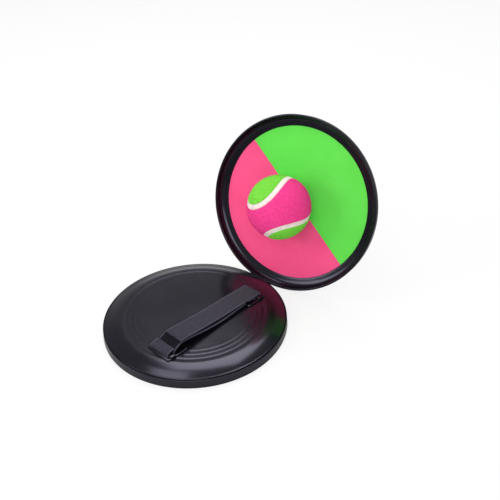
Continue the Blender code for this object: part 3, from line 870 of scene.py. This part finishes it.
def weave_material(name, colour, thread_and_edge_light_colour, pitch, width, offset):
    """A narrow plain weave. Its selvages are painted paler, a painted highlight for light along the tape's
    edges. U runs along the tape, V across, in metres.
    """
    made, tree, shader = new_material(name, colour, 0.82, 0.2)
    set_inputs(shader, Sheen_Weight=0.1)
    where = add_node(tree, "TexCoord").outputs["UV"]
    threads = []
    for axis, share in (("X", 1.0), ("Y", 0.8)):
        bands = add_node(tree, "TexWave", Vector=where, Distortion=0.6, Detail=1, Detail_Scale=1.5)
        bands.wave_type = "BANDS"
        bands.bands_direction = axis
        set_inputs(bands, Scale=math.pi / (10 * pitch * share))
        threads.append(bands.outputs["Fac"])
    cross = math_node(tree, "MULTIPLY", *threads)
    lint = add_noise(tree, 520, 4, coordinate="UV", rough=0.6)
    apart = add_node(tree, "SeparateXYZ", Vector=where)
    from_middle = math_node(tree, "SUBTRACT", apart.outputs["Y"], offset * MM)
    edge = math_node(tree, "ABSOLUTE", from_middle, 0)
    # Painted highlight: the selvage band is pushed towards the pale colour, for light along the tape's
    # edges.
    beyond = math_node(tree, "GREATER_THAN", edge, (width / 2 - SELVAGE) * MM)
    lighter = math_node(tree, "MULTIPLY", beyond, 0.9)
    tone = add_range(tree, add_sum(tree, lint, 0.8, cross, 0.25))
    add_colours(tree, shader, math_node(tree, "ADD", tone, lighter), colour, thread_and_edge_light_colour)
    woven = add_bump(tree, shader, cross, 0.00018, 0.7)
    add_bump(tree, shader, lint, 0.0001, 0.4, below=woven)
    return made


def pile_material(name, colour, tip_colour, sheen):
    """The side that carries loops or hooks: a soft dark pile."""
    made, tree, shader = new_material(name, colour, 0.95, 0.1)
    set_inputs(shader, Sheen_Weight=sheen)
    pile = add_noise(tree, 1500, 4, rough=0.7)
    add_colours(tree, shader, add_range(tree, pile), colour, tip_colour)
    add_bump(tree, shader, pile, 0.0003, 0.8)
    return made


DARK_THREAD, PALE_THREAD_AND_EDGE_LIGHT = (0.01, 0.01, 0.017), (0.056, 0.053, 0.084)
HOOK_BACK = weave_material("hook tape weave", DARK_THREAD, PALE_THREAD_AND_EDGE_LIGHT, 0.00055, HOOK_WIDTH, HOOK_OFFSET)
LOOP_BACK = weave_material("loop tape weave", DARK_THREAD, PALE_THREAD_AND_EDGE_LIGHT, 0.0005, LOOP_WIDTH, LOOP_OFFSET)
HOOK_BASE = pile_material("hook tape base", (0.004, 0.004, 0.007), (0.015, 0.014, 0.023), 0.05)
LOOP_PILE = pile_material("loop pile", (0.014, 0.014, 0.017), (0.05, 0.05, 0.06), 0.2)
print("tape cloth ready")

# %% Make a tape
CUT_EDGE = 0.35
TAPE_EDGE = 0.12
EDGE_SHARE, SELVAGE_SHARE = 0.75, 0.85


def tape(name, path, width, offset, thickness, most, back, pile, pile_side):
    """A woven band along the path, with its pile to the left (1) or right (-1) of the way it goes."""
    piece = line_piece(name, path)
    piece.location.y = (offset - width / 2) * MM
    bpy.ops.object.transform_apply(location=True, rotation=False, scale=False)
    edit_all()
    middle = (width - 2 * SELVAGE) / 6
    for step in (CUT_EDGE, SELVAGE - CUT_EDGE, *(middle,) * 6, SELVAGE - CUT_EDGE, CUT_EDGE):
        bpy.ops.mesh.extrude_region_move(TRANSFORM_OT_translate={"value": (0, step * MM, 0)})
    mend(piece)

    along = [0.0]
    for here, after in zip(path, path[1:]):
        along.append(along[-1] + (after - here).length * MM)
    spots = {(round(point.x, 3), round(point.y, 3)): length for point, length in zip(path, along)}
    while piece.data.uv_layers:
        piece.data.uv_layers.remove(piece.data.uv_layers[0])
    layer = piece.data.uv_layers.new(name="tape")
    for loop in piece.data.loops:
        place = piece.data.vertices[loop.vertex_index].co / MM
        nearest = min(spots, key=lambda spot: abs(spot[0] - place.x) + abs(spot[1] - place.z))
        layer.data[loop.index].uv = (spots[nearest], place.y * MM)

    body = piece.vertex_groups.new(name="body")
    low, high = offset - width / 2, offset + width / 2
    for vertex in piece.data.vertices:
        edge = min(vertex.co.y / MM - low, high - vertex.co.y / MM)
        share = EDGE_SHARE if edge < 0.1 else SELVAGE_SHARE if edge < SELVAGE - 0.1 else 1.0
        body.add([vertex.index], share, "REPLACE")
    first = piece.data.polygons[0]
    run = Vector((path[1].x - path[0].x, 0, path[1].y - path[0].y))
    if first.normal.dot(Vector((0, 1, 0)).cross(run)) > 0:
        piece.data.flip_normals()
    piece.data.materials.append(back)
    piece.data.materials.append(pile)
    solid = dict(thickness=thickness * MM, offset=0, use_even_offset=True)
    apply_modifier(piece, "SOLIDIFY", vertex_group="body", thickness_vertex_group=0.0, **solid)
    sharp = dict(limit_method="ANGLE", angle_limit=math.radians(60))
    apply_modifier(piece, "BEVEL", width=TAPE_EDGE * MM, segments=2, **sharp)
    middles = [((here + after) / 2, (after - here).normalized()) for here, after in zip(path, path[1:])]
    for polygon in piece.data.polygons:
        place = polygon.center / MM
        flat = Vector((place.x, place.z))
        _, along_path = min(middles, key=lambda middle: (middle[0] - flat).length)
        facing = (polygon.normal.z * along_path.x - polygon.normal.x * along_path.y) * pile_side
        inside = abs(place.y - offset) < width / 2 - SELVAGE
        polygon.material_index = 1 if inside and facing > 0.5 else 0
    for vertex in piece.data.vertices:
        vertex.co.y += stray(vertex.co.x / MM, most) * MM
    smooth_by_angle(piece, 40)
    return piece


print("tape maker ready")

# %% The two tapes of each strap
hook_shape = (hook_path(), HOOK_WIDTH, HOOK_OFFSET, HOOK_BODY, HOOK_SWAY)
loop_shape = (loop_path(), LOOP_WIDTH, LOOP_OFFSET, LOOP_BODY, LOOP_SWAY)
hook_tape = tape("hook tape", *hook_shape, HOOK_BACK, HOOK_BASE, 1)
loop_tape = tape("loop tape", *loop_shape, LOOP_BACK, LOOP_PILE, -1)
for kind, piece, (path, width, *_) in (("hook", hook_tape, hook_shape), ("loop", loop_tape, loop_shape)):
    for disc, made in on_both_discs(piece, f"strap_{kind}_tape", None, f"{kind}_tape", f"{kind}_tape"):
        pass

# %% [markdown]
# Very fine things, such as the hooks of the strap and the fibres of the felt, are short bent
# tubes by the thousand. Their middle lines are worked out in one go as arrays, and one function
# skins them all: a ring of points round every station, faces between the rings and a cap at
# each end.

# %% Many small tubes


def small_tubes(name, paths, sides, radii, corners):
    """paths: tubes x stations x 3. sides: a vector square to each path. radii: one a station."""
    tangents = np.gradient(paths, axis=1)
    tangents /= np.linalg.norm(tangents, axis=2, keepdims=True)
    other = np.cross(tangents, sides[:, None, :])
    other /= np.linalg.norm(other, axis=2, keepdims=True)
    turns = 2 * np.pi * np.arange(corners) / corners
    offsets = (
        np.cos(turns)[None, None, :, None] * sides[:, None, None, :]
        + np.sin(turns)[None, None, :, None] * other[:, :, None, :]
    )
    rings = paths[:, :, None, :] + np.asarray(radii)[None, :, None, None] * offsets
    tubes, stations = paths.shape[:2]
    walls = []
    for station in range(stations - 1):
        for here in range(corners):
            after = (here + 1) % corners
            low, high = station * corners, (station + 1) * corners
            walls.append((low + here, low + after, high + after, high + here))
    last = (stations - 1) * corners
    caps = [tuple(reversed(range(corners))), tuple(range(last, last + corners))]
    starts = np.arange(tubes)[:, None, None] * stations * corners
    faces = (np.array(walls)[None] + starts).reshape(-1, 4).tolist()
    faces += (np.array(caps)[None] + starts).reshape(-1, corners).tolist()
    mesh = bpy.data.meshes.new(name)
    mesh.from_pydata((rings.reshape(-1, 3) * MM).tolist(), [], faces)
    mesh.shade_smooth()
    piece = bpy.data.objects.new(name, mesh)
    bpy.context.collection.objects.link(piece)
    return piece


print("small tubes ready")

# %% [markdown]
# The hooks stand in rows on the lower tape, all along its run, and bend over to one side or the
# other from row to row. They are nylon, a little glossier than the tape they stand on.

# %% The hooks of the strap
HOOK_PITCH = 1.25
HOOK_HEIGHT = 0.85
HOOK_REACH = 0.5
HOOK_BENDS = (0, 0, 0, 60, 120, 165)
HOOK_RADII = (0.16, 0.13, 0.13, 0.12, 0.11, 0.08)
ROW_SHIFT = 0.25
HOOKS_START_X = -52.6
HOOKS_END_X = 40.0


def hook_field():
    """Middle lines of all hooks on a tape, in the disc's frame."""
    path = hook_path()[-RUN_SPANS * PATH_STEPS :]
    rows = []
    walked = 0.0
    for here, after in zip(path, path[1:]):
        step = (after - here).length
        while walked < step:
            point = here.lerp(after, walked / step)
            if HOOKS_START_X < point.x < HOOKS_END_X:
                rows.append((point, (after - here).normalized()))
            walked += HOOK_PITCH
        walked -= step
    columns = int((HOOK_WIDTH - 2 * SELVAGE) / HOOK_PITCH)
    stem = (-0.1, 0.3, HOOK_HEIGHT - HOOK_REACH / 2)
    hooks, sides = [], []
    for number, (point, along) in enumerate(rows):
        up = Vector((-along.y, along.x))
        lean = 1 if number % 2 else -1
        for column in range(columns):
            y = HOOK_OFFSET + (column - (columns - 1) / 2 + ROW_SHIFT * lean) * HOOK_PITCH
            y += stray(point.x, HOOK_SWAY)
            line = []
            for station, bend in enumerate(HOOK_BENDS):
                turn = math.radians(bend)
                rise = stem[min(station, 2)] + HOOK_REACH / 2 * math.sin(turn)
                reach = HOOK_REACH / 2 * (1 - math.cos(turn))
                spot = point + up * (HOOK_BODY / 2 + rise) + along * (lean * reach)
                line.append((spot.x, y, spot.y))
            hooks.append(line)
            sides.append((0.0, 1.0, 0.0))
    return np.array(hooks), np.array(sides)


def hook_material():
    made, tree, shader = new_material("hook nylon", (0.008, 0.008, 0.014), 0.6, 0.15)
    spread = add_noise(tree, 900, 2)
    add_colours(tree, shader, spread, (0.005, 0.005, 0.009), (0.013, 0.012, 0.021))
    set_inputs(shader, Roughness=add_range(tree, spread, 0.5, 0.7))
    return made


print("hooks", HOOK_HEIGHT, "mm high, one each", HOOK_PITCH, "mm")

# %% Set the hooks on the tapes
HOOK_NYLON = hook_material()
hook_lines, hook_sides = hook_field()
hooks = small_tubes("hooks", hook_lines, hook_sides, HOOK_RADII, 4)
on_both_discs(hooks, "strap_hooks", HOOK_NYLON, "hook_tape")
print(len(hook_lines), "hooks on each tape")

# %% [markdown]
# The ball is a rubber core in two felt panels. Each panel has the dumb-bell shape of a tennis
# ball's cover, and one closed curve, the seam, runs between them. A panel starts as a flat grid.
# Its rows are laid as arcs across the panel, from the seam on one side to the seam on the other,
# and they march from one end of the panel to its other end. Laid flat, a panel is 168 mm long and
# 46 mm over its lobes, and the two share the ball's skin apart from the seam.

# %% The seam's curve
BALL_RADIUS = 32.5
SEAM_WIDTH = 5.6
SEAM_SINK = 0.25
SEAM_SHAPE = 0.725
FELT_THICKNESS = 1.5
PANELS = (("pink", 3 * math.pi / 4, 1), ("green", math.pi / 4, -1))


def seam_point(turn):
    """A point of the seam curve, and its direction, on a ball of radius 1."""
    main, wave_share = SEAM_SHAPE, 1 - SEAM_SHAPE
    height = 2 * math.sqrt(main * wave_share)
    x = main * math.cos(turn) + wave_share * math.cos(3 * turn)
    y = main * math.sin(turn) - wave_share * math.sin(3 * turn)
    here = Vector((x, y, height * math.sin(2 * turn))).normalized()
    x = -main * math.sin(turn) - 3 * wave_share * math.sin(3 * turn)
    y = main * math.cos(turn) - 3 * wave_share * math.cos(3 * turn)
    run = Vector((x, y, 2 * height * math.cos(2 * turn)))
    run -= here * run.dot(here)
    return here, run.normalized()


def beside_seam(turn, distance):
    """A point this far from the seam line, measured over the ball's surface."""
    here, run = seam_point(turn)
    angle = distance / BALL_RADIUS
    return here * math.cos(angle) + here.cross(run) * math.sin(angle)


def between(start, end, share):
    angle = start.angle(end)
    if angle < 1e-6:
        return start.copy()
    return (start * math.sin((1 - share) * angle) + end * math.sin(share * angle)) / math.sin(angle)


seam_turns = [2 * math.pi * step / 720 for step in range(720)]
seam_line = np.array([seam_point(turn)[0] for turn in seam_turns])
seam_across = np.array([seam_point(turn)[0].cross(seam_point(turn)[1]) for turn in seam_turns])


def off_the_seam(directions):
    """How far each direction is from the seam line over the surface, in mm; pink is positive."""
    closeness = directions @ seam_line.T
    nearest = closeness.argmax(axis=1)
    distance = np.arccos(np.clip(closeness.max(axis=1), -1, 1)) * BALL_RADIUS
    return distance * np.sign(np.einsum("ij,ij->i", directions, seam_across[nearest]))


# %% The felt panels
PANEL_ROWS = 200
PANEL_COLUMNS = 84
FELT_BODY = 1.15
EDGE_ROUND = 1.5
EDGE_DROP = 0.6
FELT_SINK = 0.12
RELIEFS = ((9, 0.1), (30, 0.1), (70, 0.06))


def felt_material(name, colour, deep, tip):
    """Matted wool and nylon: tufts a millimetre or so across, lighter at their tips."""
    made, tree, shader = new_material(name, colour, 0.95, 0.08)
    set_inputs(shader, Sheen_Weight=0.25, Sheen_Roughness=0.5, Sheen_Tint=(*tip, 1))
    tufts = add_noise(tree, 620, 5, rough=0.68)
    add_colours(tree, shader, add_range(tree, tufts), deep, tip)
    fine = add_noise(tree, 2400, 4, rough=0.75)
    soft = add_bump(tree, shader, tufts, 0.0005, 0.7)
    add_bump(tree, shader, fine, 0.00015, 0.6, below=soft)
    return made


def felt_panel(name, middle_turn, side):
    inset = side * SEAM_WIDTH / 2
    grid = dict(x_subdivisions=PANEL_ROWS, y_subdivisions=PANEL_COLUMNS, size=1)
    piece = start_with(bpy.ops.mesh.primitive_grid_add, name, **grid)
    rows = {}
    for vertex in piece.data.vertices:
        spread = math.pi * (vertex.co.x + 0.5)
        key = round(spread, 6)
        if key not in rows:
            rows[key] = (beside_seam(middle_turn + spread, inset), beside_seam(middle_turn - spread, inset))
        vertex.co = between(*rows[key], vertex.co.y + 0.5)
    directions = np.array([vertex.co for vertex in piece.data.vertices])
    to_edge = np.abs(off_the_seam(directions)) - SEAM_WIDTH / 2
    for vertex, distance in zip(piece.data.vertices, to_edge):
        way = vertex.co.normalized()
        near = 1 - min(max(distance, 0.0) / EDGE_ROUND, 1)
        drop = EDGE_DROP * (1 - math.sqrt(1 - near**2))
        relief = sum(height * noise.noise(way * fineness) for fineness, height in RELIEFS)
        vertex.co = way * (BALL_RADIUS - FELT_SINK - drop + relief) * MM
    mend(piece, merge=0.01 * MM)
    first = piece.data.polygons[len(piece.data.polygons) // 2]
    if first.normal.dot(first.center) < 0:
        piece.data.flip_normals()
    apply_modifier(piece, "SOLIDIFY", thickness=FELT_BODY * MM, offset=-1)
    smooth_by_angle(piece, 50)
    return piece


print("panels of", PANEL_ROWS, "x", PANEL_COLUMNS, "faces")

# %% Lay the felt on the ball
FELT_PINK = felt_material("pink felt", (0.9, 0.055, 0.28), (0.8, 0.036, 0.225), (0.97, 0.08, 0.35))
FELT_GREEN = felt_material("green felt", (0.18, 0.66, 0.055), (0.14, 0.54, 0.035), (0.24, 0.76, 0.085))
FELTS = {"pink": FELT_PINK, "green": FELT_GREEN}

for colour, middle_turn, side in PANELS:
    panel = felt_panel(f"felt {colour}", middle_turn, side)
    slot = f"felt_{colour}"
    set_down(panel, f"ball_felt_panel_{colour}", BALL, FELTS[colour], slot, f"ball_felt_{colour}")

# %% [markdown]
# Felt has a nap: loose fibre ends that stand off the surface and make the ball's outline soft.
# They are scattered evenly over each panel, keep off the seam, and lean every way.

# %% The nap on the felt
FIBRES = 17000
FIBRE_LENGTHS, FIBRE_LIFTS = (0.8, 1.9), (0.15, 0.85)
FIBRE_RADII = (0.065, 0.0585, 0.02925)
FIBRE_ROOT, NAP_HEIGHT, NAP_MARGIN = 0.45, 0.55, 0.35
dice = np.random.default_rng(7)


def unit(vectors):
    return vectors / np.linalg.norm(vectors, axis=-1, keepdims=True)


roots = unit(dice.normal(size=(FIBRES, 3)))
ways = unit(np.cross(roots, dice.normal(size=(FIBRES, 3))))
lengths = dice.uniform(*FIBRE_LENGTHS, FIBRES)[:, None]
lifts = dice.uniform(*FIBRE_LIFTS, FIBRES)[:, None]
foot_points = roots * (BALL_RADIUS - FIBRE_ROOT)
middles = foot_points + lengths * (0.45 * ways + (0.3 + 0.25 * lifts) * roots)
tips = foot_points + lengths * (0.95 * ways * (1.1 - 0.6 * lifts) + (0.35 + 0.5 * lifts) * roots)
fibre_paths = np.stack((foot_points, middles, tips), axis=1)
over = np.linalg.norm(fibre_paths, axis=2, keepdims=True)
fibre_paths *= np.minimum(1.0, (BALL_RADIUS + NAP_HEIGHT) / over)
fibre_sides = unit(np.cross(roots, ways))
seam_distance = off_the_seam(roots)
for colour, _, side in PANELS:
    chosen = seam_distance * side > SEAM_WIDTH / 2 + NAP_MARGIN
    nap = small_tubes(f"nap {colour}", fibre_paths[chosen], fibre_sides[chosen], FIBRE_RADII, 3)
    set_down(nap, f"ball_nap_{colour}", BALL, FELTS[colour], f"felt_{colour}")

# %% [markdown]
# The seam is a strip of cream rubber that fills the line between the panels, a little below the
# felt. A torus is the right start, since both are closed rings: the way round the torus becomes
# the way along the curve, and the way round its tube the strip's rounded section.

# %% The seam's strip
SEAM_STEPS, SEAM_SIDES = 420, 20
SEAM_PLAY = 0.1
SQUARENESS = 0.7


def squared(share):
    """Bends a circle's sine or cosine, from -1 to 1, towards that of a rounded square."""
    return math.copysign(abs(share) ** SQUARENESS, share)


def seam_strip():
    torus = dict(major_segments=SEAM_STEPS, minor_segments=SEAM_SIDES, major_radius=1, minor_radius=0.25)
    piece = start_with(bpy.ops.mesh.primitive_torus_add, "seam", **torus)
    half = SEAM_WIDTH / 2 - SEAM_PLAY
    outer = BALL_RADIUS - SEAM_SINK
    middle = (outer + BALL_RADIUS - FELT_THICKNESS) / 2
    for vertex in piece.data.vertices:
        turn = math.atan2(vertex.co.y, vertex.co.x)
        out = math.hypot(vertex.co.x, vertex.co.y) - 1
        round_tube = math.atan2(vertex.co.z, out)
        across = half * squared(math.cos(round_tube))
        rise = (outer - middle) * squared(math.sin(round_tube))
        way = beside_seam(turn, across)
        wrinkle = 0.05 * noise.noise(way * 24)
        vertex.co = way * (middle + rise + wrinkle) * MM
    mend(piece)
    smooth_by_angle(piece, 60)
    return piece


def rubber_material(name, first, second, roughness):
    made, tree, shader = new_material(name, first, roughness, 0.3)
    clouds = add_noise(tree, 260, 4)
    add_colours(tree, shader, add_range(tree, clouds), first, second)
    add_bump(tree, shader, add_noise(tree, 1900, 3), 0.00012, 0.5)
    return made


print("seam strip of", SEAM_STEPS, "steps")

# %% The rubber of the seam and the core
SEAM_RUBBER = rubber_material("seam rubber", (0.76, 0.62, 0.58), (0.9, 0.8, 0.76), 0.7)
CORE_RUBBER = rubber_material("core rubber", (0.3, 0.28, 0.26), (0.38, 0.36, 0.33), 0.6)
set_down(seam_strip(), "ball_seam_strip", BALL, SEAM_RUBBER, "ball_seam", "ball_seam")
core = bpy.data.objects["ball_core"]
for held in core.material_slots:
    held.material = CORE_RUBBER
print("core", len(core.material_slots), "material slot")
